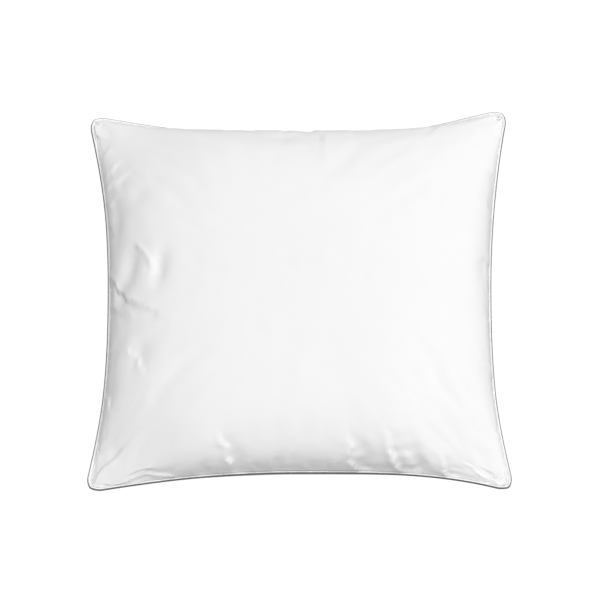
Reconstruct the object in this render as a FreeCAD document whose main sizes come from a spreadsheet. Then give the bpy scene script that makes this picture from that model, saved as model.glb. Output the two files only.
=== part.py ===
import FreeCAD, Part
import math
import os

import Sketcher

# Square bed pillow lying flat: origin under its middle, +Z up, side seams along X and Y.
# Two casing panels meet at a piped seam. Both panels are domes lofted through the seam outline
# and rounder, smaller outlines above or below it. The lower dome ends in the flat patch it rests on.

sizes = {
    "span": 650,            # corner to corner along one side, over the piping
    "pull_x": 30,           # how far the left and right sides pull in between the corners
    "pull_y": 25,           # how far the near and far sides pull in
    "corner": 16,           # corner radius of the seam line
    "seam_level": 88,       # height of the seam above the surface the pillow rests on
    "crown": 88,            # rise of the upper panel over the seam
    "cloth": 0.5,           # one layer of casing cloth in the seam
    "wall": 1,              # casing and the fibre that clings to it, over the domes
    "rim": 1.5,             # the layers at the seam stand this far above and below its middle
    "bead": 5,              # piping diameter
    "bead_wall": 0.5,       # piping cloth round the cord
    "bead_out": 2.6,        # middle of the piping, out from the seam line
    "allowance": 12,        # width of the turned-in edges
    "fill_inset": 3,        # fill starts this far inside the seam line
    "fill_gap": 0.6,        # and stops this far under the casing
    "thread": 0.3,          # sewing thread diameter
    "thread_inset": 1.5,    # lockstitch runs this far inside the seam line
    "bind": 4,              # width of the overlocked edge
    "bind_wall": 0.2,       # thickness of its thread
    "fullness": 0.9,        # power of the cosine that gives the domes their round shoulders
    "first_angle": 15,      # angle, in degrees, at which the domes leave the seam
    "round_end": 0.68,      # corner radius of the last outline as a share of its half width
    "top_end": 85,          # angle, in degrees, at which the upper dome closes
    "bottom_end": 62,       # angle at which the lower dome meets the resting surface
    "label_width": 38,
    "label_length": 52,
    "label_cloth": 0.3,
    "label_place": -130,    # middle of the label along X
    "label_out": 2.5,       # hinge line, out from the seam line
    "label_drop": 4,        # hinge line, down from the seam's middle
    "stitch_pitch": 5,
    "stitch_length": 3,
    "stitch_start": 1.5,    # under the turned edge
    "stitch_count": 30,
    "stitch_lift": 0.6,     # stitches stand this far off the seam line
}

doc = FreeCAD.newDocument("bed_pillow")
sheet = doc.addObject("Spreadsheet::Sheet", "sizes")
for row, (alias, number) in enumerate(sizes.items(), start=1):
    sheet.set(f"A{row}", alias)
    sheet.set(f"B{row}", str(number))
    sheet.setAlias(f"B{row}", alias)
doc.recompute()

half_cell = "(sizes.span / 2 - sizes.bead_out - sizes.bead / 2)"   # seam line's half width
rise_steps = (0, 6, 14, 24, 36, 48, 60, 72, 84, 94, 100)  # a dome's outlines, percent of its end angle
vector = FreeCAD.Vector


def new_body(label):
    body = doc.addObject("PartDesign::Body", label)
    body.Label = label
    return body


def new_sketch(body, name, height="0", role="XY_Plane"):
    """A sketch on one of the body's own planes, lifted by an expression."""
    sketch = body.newObject("Sketcher::SketchObject", name)
    plane = next(f for f in body.Origin.OriginFeatures if f.Role == role)
    sketch.AttachmentSupport = [(plane, "")]
    sketch.MapMode = "FlatFace"
    sketch.setExpression("AttachmentOffset.Base.z", height)
    return sketch


def bind(sketch, kind, places, expression, start):
    """Adds a dimension that follows an expression."""
    number = sketch.addConstraint(Sketcher.Constraint(kind, *places, start))
    sketch.setExpression(f"Constraints[{number}]", expression)


def evaluate(expression):
    return float(sheet.evalExpression(expression))


def add_outline(sketch, reach_x, reach_y, pull_x, pull_y, corner):
    """A square with its sides pulled in: four corner arcs and four tangent side arcs.

    reach is from the middle to a corner's outermost point, pull is how far a side comes in.
    """
    centre_x = f"({reach_x} - {corner})"
    centre_y = f"({reach_y} - {corner})"
    side_x = f"(({centre_y} ^ 2 + {pull_x} ^ 2) / (2 * {pull_x}) - {corner})"
    side_y = f"(({centre_x} ^ 2 + {pull_y} ^ 2) / (2 * {pull_y}) - {corner})"
    c_x, c_y, r_x, r_y, r_c = [evaluate(e) for e in (centre_x, centre_y, side_x, side_y, corner)]
    turn_x = math.asin(c_y / (r_x + r_c))
    turn_y = math.asin(c_x / (r_y + r_c))
    right = evaluate(reach_x) - evaluate(pull_x) + r_x
    far = evaluate(reach_y) - evaluate(pull_y) + r_y
    quarter = math.pi / 2

    def arc(x, y, radius, start, end):
        circle = Part.Circle(vector(x, y, 0), vector(0, 0, 1), radius)
        return sketch.addGeometry(Part.ArcOfCircle(circle, start, end), False)

    corners = [
        arc(c_x, c_y, r_c, -turn_x, quarter + turn_y),
        arc(-c_x, c_y, r_c, quarter - turn_y, 2 * quarter + turn_x),
        arc(-c_x, -c_y, r_c, 2 * quarter - turn_x, 3 * quarter + turn_y),
        arc(c_x, -c_y, r_c, -quarter - turn_y, turn_x),
    ]
    sides = [
        arc(0, far, r_y, -quarter - turn_y, -quarter + turn_y),
        arc(-right, 0, r_x, -turn_x, turn_x),
        arc(0, -far, r_y, quarter - turn_y, quarter + turn_y),
        arc(right, 0, r_x, 2 * quarter - turn_x, 2 * quarter + turn_x),
    ]
    begin, finish, centre = 1, 2, 3
    for place in range(4):
        following = corners[(place + 1) % 4]
        tangent = Sketcher.Constraint("Tangent", corners[place], finish, sides[place], finish)
        sketch.addConstraint(tangent)
        tangent = Sketcher.Constraint("Tangent", sides[place], begin, following, begin)
        sketch.addConstraint(tangent)
    for first, second, axis in ((0, 1, -2), (2, 3, -2), (0, 3, -1)):
        mirror = (corners[first], centre, corners[second], centre, axis)
        sketch.addConstraint(Sketcher.Constraint("Symmetric", *mirror))
    for place in (1, 2, 3):
        sketch.addConstraint(Sketcher.Constraint("Equal", corners[0], corners[place]))
    sketch.addConstraint(Sketcher.Constraint("Equal", sides[0], sides[2]))
    sketch.addConstraint(Sketcher.Constraint("Equal", sides[1], sides[3]))
    bind(sketch, "DistanceX", (-1, 1, corners[0], centre), centre_x, c_x)
    bind(sketch, "DistanceY", (-1, 1, corners[0], centre), centre_y, c_y)
    bind(sketch, "Radius", (corners[0],), corner, r_c)
    bind(sketch, "Radius", (sides[0],), side_y, r_y)
    bind(sketch, "Radius", (sides[1],), side_x, r_x)


def add_seam_outline(sketch, offset):
    """The seam line moved outwards by an offset, parallel to itself."""
    reach = f"({half_cell} + {offset})"
    add_outline(sketch, reach, reach, "sizes.pull_x", "sizes.pull_y", f"(sizes.corner + {offset})")


def dome_sections(body, name, offset, start, rise, end):
    """Outlines of a dome, from the seam line moved by offset at height start."""
    sections = []
    first = "sizes.first_angle"
    for step in rise_steps:
        angle = f"({first} + {step} / 100 * ({end} - {first}))"
        lean = f"(cos({angle}) / cos({first}))"
        fade = f"(0.995 * {lean} ^ 3 + 0.005)"
        pull_x = f"(sizes.pull_x * {fade})"
        pull_y = f"(sizes.pull_y * {fade})"
        waist_x = f"(({half_cell} + {offset} - sizes.pull_x) * {lean} ^ sizes.fullness)"
        waist_y = f"(({half_cell} + {offset} - sizes.pull_y) * {lean} ^ sizes.fullness)"
        first_corner = f"(sizes.corner + {offset})"
        growth = f"((sin({angle}) - sin({first})) / (1 - sin({first}))) ^ 0.6"
        corner = f"({first_corner} + (sizes.round_end * {waist_x} - {first_corner}) * {growth})"
        climb = f"(sin({angle}) - sin({first})) / (sin({end}) - sin({first}))"
        height = f"{start} + {rise} * {climb}"
        sketch = new_sketch(body, f"{name}_{step}", height)
        reach_x = f"({waist_x} + {pull_x})"
        reach_y = f"({waist_y} + {pull_y})"
        add_outline(sketch, reach_x, reach_y, pull_x, pull_y, corner)
        sections.append(sketch)
    return sections


def add_dome(body, name, kind, offset, start, rise, end):
    sections = dome_sections(body, f"{name}_level", offset, start, rise, end)
    doc.recompute()
    loft = body.newObject(f"PartDesign::{kind}", name)
    loft.Profile = sections[0]
    loft.Sections = sections[1:]
    loft.Ruled = False
    doc.recompute()
    return loft


def add_plate(body, name, kind, offsets, height, thickness, backwards=False):
    """A Pad or Pocket of one or more seam outlines."""
    sketch = new_sketch(body, f"{name}_outline", height)
    for offset in offsets:
        add_seam_outline(sketch, offset)
    doc.recompute()
    plate = body.newObject(f"PartDesign::{kind}", name)
    plate.Profile = sketch
    plate.setExpression("Length", thickness)
    plate.Reversed = backwards
    doc.recompute()
    return plate


def cut_plate(body, name, offset, height, thickness, upwards):
    """Cuts inside a seam outline, and makes sure that something was cut."""
    whole = body.Shape.Volume
    add_plate(body, name, "Pocket", [offset], height, thickness, upwards)
    if body.Shape.Volume >= whole:
        raise RuntimeError(f"{name} cut nothing")


def add_run(body, name, kind, offset, height, diameter):
    """A round section swept once round the seam, from the middle of the far side."""
    path = new_sketch(body, f"{name}_path", height)
    add_seam_outline(path, offset)
    section = new_sketch(body, f"{name}_section", "0", "YZ_Plane")
    reach = f"({half_cell} + {offset} - sizes.pull_y)"
    place = vector(evaluate(reach), evaluate(height), 0)
    circle = Part.Circle(place, vector(0, 0, 1), evaluate(diameter) / 2)
    round_edge = section.addGeometry(circle, False)
    bind(section, "DistanceX", (-1, 1, round_edge, 3), reach, place.x)
    bind(section, "DistanceY", (-1, 1, round_edge, 3), height, place.y)
    bind(section, "Diameter", (round_edge,), diameter, evaluate(diameter))
    doc.recompute()
    run = body.newObject(f"PartDesign::{kind}", name)
    run.Profile = section
    run.Spine = (path, [])
    doc.recompute()
    return run


def make_panel(label, side):
    """side is 1 for the upper panel and -1 for the lower one."""
    body = new_body(label)
    if side > 0:
        rise, end = "sizes.crown", "sizes.top_end"
    else:
        rise, end = "sizes.seam_level", "sizes.bottom_end"
    seam_face = f"sizes.seam_level + {side} * sizes.cloth / 2"
    rim_top = f"sizes.seam_level + {side} * sizes.rim"
    add_plate(body, f"{label}_rim", "Pad", ["0"], seam_face, "sizes.rim - sizes.cloth / 2", side < 0)
    add_dome(body, f"{label}_outside", "AdditiveLoft", "0", rim_top,
             f"{side} * ({rise} - sizes.rim)", end)
    add_dome(body, f"{label}_inside", "SubtractiveLoft", "(0 - sizes.wall)", rim_top,
             f"{side} * ({rise} - sizes.rim - sizes.wall)", end)
    # the edge is turned in, so the rim is hollow above it and open in the middle
    cut_plate(body, f"{label}_hollow_rim", "(0 - sizes.wall)", f"{seam_face} + {side} * sizes.cloth",
              "sizes.rim - 1.5 * sizes.cloth", side > 0)
    cut_plate(body, f"{label}_turned_edge", "(0 - sizes.allowance)", seam_face, "sizes.cloth", side > 0)
    return body


def make_piping_cover():
    """Bias strip folded round the cord, its two edges lying together as the flange."""
    body = new_body("piping_cover")
    path = new_sketch(body, "piping_path", "sizes.seam_level")
    add_seam_outline(path, "sizes.bead_out")
    section = new_sketch(body, "piping_section", "0", "YZ_Plane")
    centre = f"({half_cell} + sizes.bead_out - sizes.pull_y)"
    edge = f"({half_cell} - sizes.allowance - sizes.pull_y)"
    middle = vector(evaluate(centre), sizes["seam_level"])
    radius, half = sizes["bead"] / 2, sizes["cloth"] / 2
    neck = math.sqrt(radius ** 2 - half ** 2)
    open_angle = math.atan2(half, -neck)
    circle = Part.Circle(vector(middle.x, middle.y, 0), vector(0, 0, 1), radius)
    bead = section.addGeometry(Part.ArcOfCircle(circle, -open_angle, open_angle), False)
    corners = [vector(middle.x - neck, middle.y + half), vector(evaluate(edge), middle.y + half),
               vector(evaluate(edge), middle.y - half), vector(middle.x - neck, middle.y - half)]
    lines = []
    for place in range(3):
        line = Part.LineSegment(corners[place], corners[place + 1])
        lines.append(section.addGeometry(line, False))
    upper, raw_edge, lower = lines
    for pair in ((bead, 2, upper, 1), (upper, 2, raw_edge, 1), (raw_edge, 2, lower, 1), (lower, 2, bead, 1)):
        section.addConstraint(Sketcher.Constraint("Coincident", *pair))
    section.addConstraint(Sketcher.Constraint("Horizontal", upper))
    section.addConstraint(Sketcher.Constraint("Vertical", raw_edge))
    section.addConstraint(Sketcher.Constraint("Horizontal", lower))
    section.addConstraint(Sketcher.Constraint("Vertical", bead, 1, bead, 2))
    bind(section, "DistanceX", (-1, 1, bead, 3), centre, middle.x)
    bind(section, "DistanceY", (-1, 1, bead, 3), "sizes.seam_level", middle.y)
    bind(section, "Diameter", (bead,), "sizes.bead", sizes["bead"])
    bind(section, "DistanceX", (-1, 1, raw_edge, 1), edge, evaluate(edge))
    bind(section, "DistanceY", (raw_edge, 2, raw_edge, 1), "sizes.cloth", sizes["cloth"])
    doc.recompute()
    run = body.newObject("PartDesign::AdditivePipe", "piping_run")
    run.Profile = section
    run.Spine = (path, [])
    doc.recompute()
    whole = body.Shape.Volume
    bore = "(sizes.bead - 2 * sizes.bead_wall)"
    add_run(body, "piping_bore", "SubtractivePipe", "sizes.bead_out", "sizes.seam_level", bore)
    if body.Shape.Volume >= whole:
        raise RuntimeError("piping_cover: the bore wasn't cut")
    return body


def make_ring(label, offset, height, diameter):
    body = new_body(label)
    add_run(body, f"{label}_run", "AdditivePipe", offset, height, diameter)
    return body


def make_overlock():
    """Thread that wraps the raw edges of the two panels and the piping flange."""
    body = new_body("overlock_thread")
    layers = "(1.5 * sizes.cloth)"
    raw_edge = "(0 - sizes.allowance)"
    outer = "(sizes.bind - sizes.allowance)"
    inner = "(0 - sizes.allowance - sizes.bind_wall)"
    add_plate(body, "overlock_lower", "Pad", [outer, inner],
              f"sizes.seam_level - {layers} - sizes.bind_wall", "sizes.bind_wall")
    add_plate(body, "overlock_edge", "Pad", [raw_edge, inner],
              f"sizes.seam_level - {layers}", f"2 * {layers}")
    add_plate(body, "overlock_upper", "Pad", [outer, inner],
              f"sizes.seam_level + {layers}", "sizes.bind_wall")
    return body


def make_fill():
    body = new_body("fill")
    inset = "(0 - sizes.fill_inset)"
    waist = "(0 - sizes.allowance - 2 * sizes.fill_gap)"
    skin = "(sizes.rim + sizes.wall + sizes.fill_gap)"
    add_dome(body, "fill_lower", "AdditiveLoft", inset, "sizes.seam_level - sizes.rim",
             f"({skin} - sizes.seam_level)", "sizes.bottom_end")
    add_plate(body, "fill_waist", "Pad", [waist], "sizes.seam_level - sizes.rim", "2 * sizes.rim")
    add_dome(body, "fill_upper", "AdditiveLoft", inset, "sizes.seam_level + sizes.rim",
             f"(sizes.crown - {skin})", "sizes.top_end")
    return body


def far_seam(x):
    """Place of the far side's seam line along Y at a given X."""
    reach = sizes["span"] / 2 - sizes["bead_out"] - sizes["bead"] / 2
    centre = reach - sizes["corner"]
    pull = sizes["pull_y"]
    radius = (centre ** 2 + pull ** 2) / (2 * pull) - sizes["corner"]
    return reach - pull + radius - math.sqrt(radius ** 2 - x ** 2)


def lower_wall_slope():
    """How far the lower panel comes in for each millimetre down, just under the far seam."""
    first, end = math.radians(sizes["first_angle"]), math.radians(sizes["bottom_end"])
    inward = far_seam(0) * sizes["fullness"] * math.tan(first)
    down = sizes["seam_level"] * math.cos(first) / (math.sin(end) - math.sin(first))
    return inward / down


def make_closing_stitches():
    """Ladder stitches over the filling opening, a group of separate short threads."""
    group = doc.addObject("Part::Feature", "closing_stitches")
    group.Label = "closing_stitches"
    radius = sizes["thread"] / 2
    wall = vector(0, -lower_wall_slope(), -1).normalize()
    stitches = []
    for number in range(sizes["stitch_count"]):
        x = (number - (sizes["stitch_count"] - 1) / 2) * sizes["stitch_pitch"]
        seam = vector(x, far_seam(x) + sizes["stitch_lift"], sizes["seam_level"] - sizes["rim"])
        start = seam + wall * sizes["stitch_start"]
        stitches.append(Part.makeCylinder(radius, sizes["stitch_length"], start, wall))
    group.Shape = Part.makeCompound(stitches)
    return group


def make_label():
    """Tape label hanging from its sewn edge, drawn flat on the XZ plane."""
    body = new_body("care_label")
    line = far_seam(sizes["label_place"]) + sizes["label_out"]
    sketch = new_sketch(body, "label_outline", f"0 - {line}", "XZ_Plane")
    middle, width = sizes["label_place"], sizes["label_width"]
    top = sizes["seam_level"] - sizes["label_drop"]
    left, right = middle - width / 2, middle + width / 2
    bottom = top - sizes["label_length"]
    points = [vector(left, bottom), vector(right, bottom), vector(right, top), vector(left, top)]
    for place in range(4):
        sketch.addGeometry(Part.LineSegment(points[place], points[(place + 1) % 4]), False)
    for place in range(4):
        joined = Sketcher.Constraint("Coincident", place, 2, (place + 1) % 4, 1)
        sketch.addConstraint(joined)
    for place, kind in enumerate(("Horizontal", "Vertical", "Horizontal", "Vertical")):
        sketch.addConstraint(Sketcher.Constraint(kind, place))
    bind(sketch, "DistanceX", (0, 1, 0, 2), "sizes.label_width", width)
    bind(sketch, "DistanceY", (1, 1, 1, 2), "sizes.label_length", sizes["label_length"])
    bind(sketch, "DistanceX", (0, 1, -1, 1), "sizes.label_width / 2 - sizes.label_place", -left)
    bind(sketch, "DistanceY", (-1, 1, 2, 1), "sizes.seam_level - sizes.label_drop", top)
    doc.recompute()
    pad = body.newObject("PartDesign::Pad", "label_tape")
    pad.Profile = sketch
    pad.setExpression("Length", "sizes.label_cloth")
    pad.Midplane = True
    doc.recompute()
    return body


layer_top = "(1.5 * sizes.cloth + sizes.thread / 2)"
thread_offset = "(0 - sizes.thread_inset)"
parts = [
    make_panel("top_panel", 1),
    make_panel("bottom_panel", -1),
    make_piping_cover(),
    make_ring("piping_cord", "sizes.bead_out", "sizes.seam_level",
              "(sizes.bead - 2 * sizes.bead_wall - 0.1)"),
    make_ring("seam_needle_thread", thread_offset, f"sizes.seam_level + {layer_top}",
              "sizes.thread"),
    make_ring("seam_bobbin_thread", thread_offset, f"sizes.seam_level - {layer_top}",
              "sizes.thread"),
    make_overlock(),
    make_fill(),
    make_closing_stitches(),
    make_label(),
]

doc.recompute()
for thing in doc.Objects:
    if "Invalid" in thing.State or "Error" in thing.State:
        raise RuntimeError(f"{thing.Label} failed: {thing.State}")
os.makedirs("parts", exist_ok=True)
for part in parts:
    if part.Shape.isNull() or not part.Shape.isValid():
        raise RuntimeError(f"{part.Label} has no valid shape")
    part.Shape.exportStep(f"parts/{part.Label}.step")
    box = part.Shape.optimalBoundingBox()
    print(f"{part.Label}: {part.Shape.Volume / 1000:.2f} cm3, {len(part.Shape.Solids)} solid(s), "
          f"x {box.XMin:.1f}..{box.XMax:.1f}, y {box.YMin:.1f}..{box.YMax:.1f}, "
          f"z {box.ZMin:.1f}..{box.ZMax:.1f}")
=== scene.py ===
import math
import random

import bmesh
import bpy
import numpy as np
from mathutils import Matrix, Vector


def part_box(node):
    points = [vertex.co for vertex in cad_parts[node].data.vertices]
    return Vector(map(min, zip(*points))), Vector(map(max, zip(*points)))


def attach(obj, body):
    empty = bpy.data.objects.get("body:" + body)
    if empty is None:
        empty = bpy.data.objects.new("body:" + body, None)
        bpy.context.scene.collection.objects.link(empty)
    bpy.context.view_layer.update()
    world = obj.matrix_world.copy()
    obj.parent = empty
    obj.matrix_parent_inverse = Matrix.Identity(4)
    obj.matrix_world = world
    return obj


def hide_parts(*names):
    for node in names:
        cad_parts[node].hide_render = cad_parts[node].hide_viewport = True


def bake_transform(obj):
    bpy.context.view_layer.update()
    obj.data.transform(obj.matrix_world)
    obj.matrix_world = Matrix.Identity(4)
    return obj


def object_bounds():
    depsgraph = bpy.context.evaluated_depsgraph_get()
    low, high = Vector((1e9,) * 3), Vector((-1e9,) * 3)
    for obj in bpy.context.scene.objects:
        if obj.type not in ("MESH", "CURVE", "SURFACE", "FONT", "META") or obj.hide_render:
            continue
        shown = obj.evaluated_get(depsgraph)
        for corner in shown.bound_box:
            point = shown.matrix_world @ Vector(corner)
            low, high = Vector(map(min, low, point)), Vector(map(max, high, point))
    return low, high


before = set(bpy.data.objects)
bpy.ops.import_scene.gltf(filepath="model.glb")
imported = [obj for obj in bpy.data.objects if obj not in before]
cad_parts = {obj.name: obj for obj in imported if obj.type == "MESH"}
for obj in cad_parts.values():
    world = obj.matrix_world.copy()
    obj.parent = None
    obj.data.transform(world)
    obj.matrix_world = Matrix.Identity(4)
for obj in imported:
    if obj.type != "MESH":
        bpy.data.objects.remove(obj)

cadLow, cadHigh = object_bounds()
pipingLow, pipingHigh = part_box("piping_cover")
panelLow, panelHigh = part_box("top_panel")
print("stage: frame loaded")

# lengths are in metres unless a note says otherwise; the seam runs round the pillow at one level
seam = {
    "level": (pipingLow.z + pipingHigh.z) / 2,
    "halfSpan": panelHigh.x,          # middle of a side to the line of the corners
    "pull": {"left": 0.029, "right": 0.0285, "near": 0.031, "far": 0.0235},
    "curve": {"left": (2.3, 2.3), "right": (2.3, 2.3), "near": (1.9, 3.4), "far": (2.6, 2.6)},
    "cornerRadius": 0.022,
    "allowance": 0.012,               # turned in behind the stitching
    "gap": 0.0003,                    # from the seam's middle to each panel
    "gapReach": 0.006,                # how far in from the seam the gap closes up
    "tuckRise": 0.0004,               # the allowance's edge, away from the seam's level
    "earStart": 0.45,                 # where the ears begin, from the middle to the corner
    "earFlat": 0.75,                  # how much thinner the ears get than a plain cushion's
    "earShift": {                     # each ear's own way of lying
        (-1, -1): (-0.0035, -0.002, 0.0), (1, -1): (0.004, -0.001, 0.0),
        (-1, 1): (-0.004, 0.003, 0.008), (1, 1): (0.0, 0.005, 0.024),
    },
}
crown = cadHigh.z - seam["level"]


def smoothStep(value):
    value = np.clip(value, 0, 1)
    return value * value * (3 - 2 * value)


def addObject(name):
    thing = bpy.context.active_object
    thing.name = name
    thing.data.name = name
    return thing


def deselectAll():
    if bpy.context.mode != "OBJECT":
        bpy.ops.object.mode_set(mode="OBJECT")
    bpy.ops.object.select_all(action="DESELECT")


def pick(*things):
    deselectAll()
    for thing in things:
        thing.select_set(True)
    bpy.context.view_layer.objects.active = things[0]


def editAll(thing, *steps):
    pick(thing)
    bpy.ops.object.mode_set(mode="EDIT")
    bpy.ops.mesh.select_all(action="SELECT")
    for step in steps:
        step()
    bpy.ops.object.mode_set(mode="OBJECT")


def copyOf(thing, name):
    pick(thing)
    bpy.ops.object.duplicate()
    return addObject(name)


def readPoints(thing, what="co"):
    points = np.empty(len(thing.data.vertices) * 3)
    thing.data.vertices.foreach_get(what, points)
    return points.reshape(-1, 3)


def writePoints(thing, points):
    thing.data.vertices.foreach_set("co", np.ascontiguousarray(points, dtype=float).ravel())
    thing.data.update()


def applyModifier(thing, kind, **settings):
    pick(thing)
    modifier = thing.modifiers.new(kind.lower(), kind)
    for key, value in settings.items():
        setattr(modifier, key, value)
    bpy.ops.object.modifier_apply(modifier=modifier.name)


camera = {
    "elevation": 61.9,    # degrees above the floor
    "lens": 600,          # millimetres, as is the sensor
    "sensor": 36,
    "viewWidth": 0.9418,  # across the picture at the pillow
    "aim": (0.0087, 0.0, 0.0855),
}
light = {
    "sky": 0.57,
    "floorGlow": 0.28,    # what the floor throws back on the pillow
    "floorSeen": 1.02,
    "floorSize": 12,
    "lamps": {            # place, size, power
        "keyLight": ((3.0, 1.0, 2.5), 2.2, 40),
        "nearLight": ((1.2, -2.4, 1.9), 1.3, 15),
        "topLight": ((-0.1, 0.5, 3.2), 0.8, 23),
    },
}


def placeInScene(name, data):
    thing = bpy.data.objects.new(name, data)
    bpy.context.scene.collection.objects.link(thing)
    return thing


def makeCamera():
    data = bpy.data.cameras.new("camera")
    thing = placeInScene("camera", data)
    data.lens = camera["lens"]
    data.sensor_width = camera["sensor"]
    distance = camera["viewWidth"] * camera["lens"] / camera["sensor"]
    tilt = math.radians(camera["elevation"])
    offset = Vector((0, -math.cos(tilt), math.sin(tilt))) * distance
    thing.location = Vector(camera["aim"]) + offset
    thing.rotation_euler = (math.pi / 2 - tilt, 0, 0)
    data.clip_end = distance * 3
    bpy.context.scene.camera = thing


def makeLamps():
    for name, (place, size, power) in light["lamps"].items():
        data = bpy.data.lights.new(name, "AREA")
        data.shape = "DISK"
        data.size = size
        data.energy = power
        thing = placeInScene(name, data)
        thing.location = place
        aim = Vector(camera["aim"]) - Vector(place)
        thing.rotation_euler = aim.to_track_quat("-Z", "Y").to_euler()


def makeSky():
    world = bpy.data.worlds.new("softSky")
    bpy.context.scene.world = world
    world.use_nodes = True
    background = world.node_tree.nodes["Background"]
    background.inputs["Color"].default_value = (1, 1, 1, 1)
    background.inputs["Strength"].default_value = light["sky"]
    bpy.context.scene.view_settings.view_transform = "Standard"


# the floor is plain white to the eye and a soft reflector to the pillow
def makeFloor():
    deselectAll()
    bpy.ops.mesh.primitive_plane_add(size=light["floorSize"])
    floor = addObject("paleFloor")
    material = bpy.data.materials.new("paleFloor")
    material.use_nodes = True
    tree = material.node_tree
    tree.nodes.clear()
    out = tree.nodes.new("ShaderNodeOutputMaterial")
    path = tree.nodes.new("ShaderNodeLightPath")
    mix = tree.nodes.new("ShaderNodeMixShader")
    tree.links.new(path.outputs["Is Camera Ray"], mix.inputs[0])
    for socket, strength in ((1, light["floorGlow"]), (2, light["floorSeen"])):
        emission = tree.nodes.new("ShaderNodeEmission")
        emission.inputs["Strength"].default_value = strength
        tree.links.new(emission.outputs[0], mix.inputs[socket])
    tree.links.new(mix.outputs[0], out.inputs["Surface"])
    floor.data.materials.append(material)


makeCamera()
makeSky()
makeLamps()
makeFloor()
print("stage: camera, floor and light made")

casing = {
    "cut": 0.660,          # each panel, seam to seam, before it is filled
    "cells": 108,          # mesh cells along a side while it is simulated
    "crowding": 0.45,      # how much closer the cells are beside the seams
    "thickness": 0.0005,
    # how boxy each side's roll is; 2 is an ellipse
    "squareness": {"left": 2.7, "right": 2.9, "near": 2.8, "far": 2.7},
    "underSquareness": 2.3,
    "loft": 0.97,          # share of the frame's height, over the seam and under it
    "underLoft": 1.02,
    "ripple": 0.0006,      # unevenness that the wrinkles start from
    "keepSlow": 0.2,       # share of the broad change of shape that is kept
    "keepFine": 0.75,      # share of the wrinkles that is kept
    "fineLength": 0.030,   # what is longer than this is broad
    "mostMove": 0.012,
    "restSoftness": 0.0015,   # how gently the underside meets the floor
    "creaseFade": 0.008,   # creases and pockets die out within this of the seam
    "pocketFade": 0.012,
}
cloth = {
    "frames": 24,
    "quality": 4,
    "pressure": 0.3,
    "mass": 0.02,
    "stretch": 40,
    "shear": 5,
    "bending": 0.012,
    "damping": 0.3,
    "slackMiddle": 0.0,    # negative lets the cloth outgrow its shape and wrinkle
    "slackEdge": -0.045,
    "slackFrom": 0.5,      # from the middle to the seam, where the slack starts
    "slackOver": 0.45,
    "pin": 10,
}


# how far a side comes in at a place from -1 to 1 along it
def seamInset(along, side):
    curve = np.where(along < 0, *seam["curve"][side])
    return seam["pull"][side] * (1 - np.abs(along) ** curve)


# how much of a point belongs to the ear where u and v are both 1
def earWeight(u, v):
    start = seam["earStart"]
    return smoothStep((u - start) / (1 - start)) * smoothStep((v - start) / (1 - start))


# how far the ears have moved, at u and v from -1 to 1
def earMove(u, v):
    total = np.zeros((len(u), 3))
    for (signU, signV), shift in seam["earShift"].items():
        total += np.outer(earWeight(u * signU, v * signV), shift)
    return total


# where a point of the flat panel, u and v from -1 to 1, lies in plan
def planPlace(u, v):
    half = seam["halfSpan"]
    left = -half + seamInset(v, "left")
    right = half - seamInset(v, "right")
    near = -half + seamInset(u, "near")
    far = half - seamInset(u, "far")
    x = (left + right) / 2 + (right - left) / 2 * u
    y = (near + far) / 2 + (far - near) / 2 * v
    straight = 1 - seam["cornerRadius"] / half
    reachU, reachV = np.abs(u) - straight, np.abs(v) - straight
    inCorner = (reachU > 0) & (reachV > 0)
    longest = np.maximum(reachU, reachV)
    length = np.sqrt(reachU ** 2 + reachV ** 2)
    scale = np.where(inCorner, longest / np.maximum(length, 1e-9), 1)
    newU = np.where(inCorner, np.sign(u) * (straight + reachU * scale), u)
    newV = np.where(inCorner, np.sign(v) * (straight + reachV * scale), v)
    level = np.full(len(u), seam["level"])
    return np.stack([x + (newU - u) * half, y + (newV - v) * half, level], 1) + earMove(u, v)


# where evenly spaced places of the cloth, -1 to 1, come to lie over the filling
def rollProfile(places, squareness, height):
    power = 2 / squareness
    turn = np.linspace(0, math.pi / 2, 2000) ** 2 / (math.pi / 2)
    across = np.sin(turn) ** power
    up = np.cos(turn) ** power
    halfWidth = seam["halfSpan"] - seam["pull"]["left"]
    steps = np.hypot(np.diff(across) * halfWidth, np.diff(up) * height)
    along = np.concatenate([[0], np.cumsum(steps)])
    along = along / along[-1]
    reach = np.abs(places)
    return np.sign(places) * np.interp(reach, along, across), np.interp(reach, along, up)


# small waves of several directions and lengths over the panel
def rippleField(uv, dice):
    total = np.zeros(len(uv))
    for _ in range(40):
        angle = dice.uniform(0, math.pi)
        waves = dice.uniform(12, 60)
        phase = dice.uniform(0, 2 * math.pi)
        total += np.sin((uv[:, 0] * math.cos(angle) + uv[:, 1] * math.sin(angle)) * waves + phase)
    return total / 6


def loopOwners(panel):
    owner = np.empty(len(panel.data.loops), dtype=int)
    panel.data.loops.foreach_get("vertex_index", owner)
    return owner


# the flat panel's own places go into its UV map
def writePattern(panel, uv):
    pattern = (uv[loopOwners(panel)] + 1) / 2
    panel.data.uv_layers.active.data.foreach_set("uv", pattern.ravel())


# lays a panel's flat grid over the filling, up or down from the seam
def layFilled(panel, uv, squareness, height):
    across, rise = [], height
    for places, ends in ((uv[:, 0], ("left", "right")), (uv[:, 1], ("near", "far"))):
        profiles = [rollProfile(places, squareness[end], abs(height)) for end in ends]
        across.append(np.where(places < 0, profiles[0][0], profiles[1][0]))
        rise = rise * np.where(places < 0, profiles[0][1], profiles[1][1])
    rise = rise * (1 - seam["earFlat"] * earWeight(*np.abs(across)))
    writePoints(panel, planPlace(*across) + np.outer(rise, (0, 0, 1)))


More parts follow.
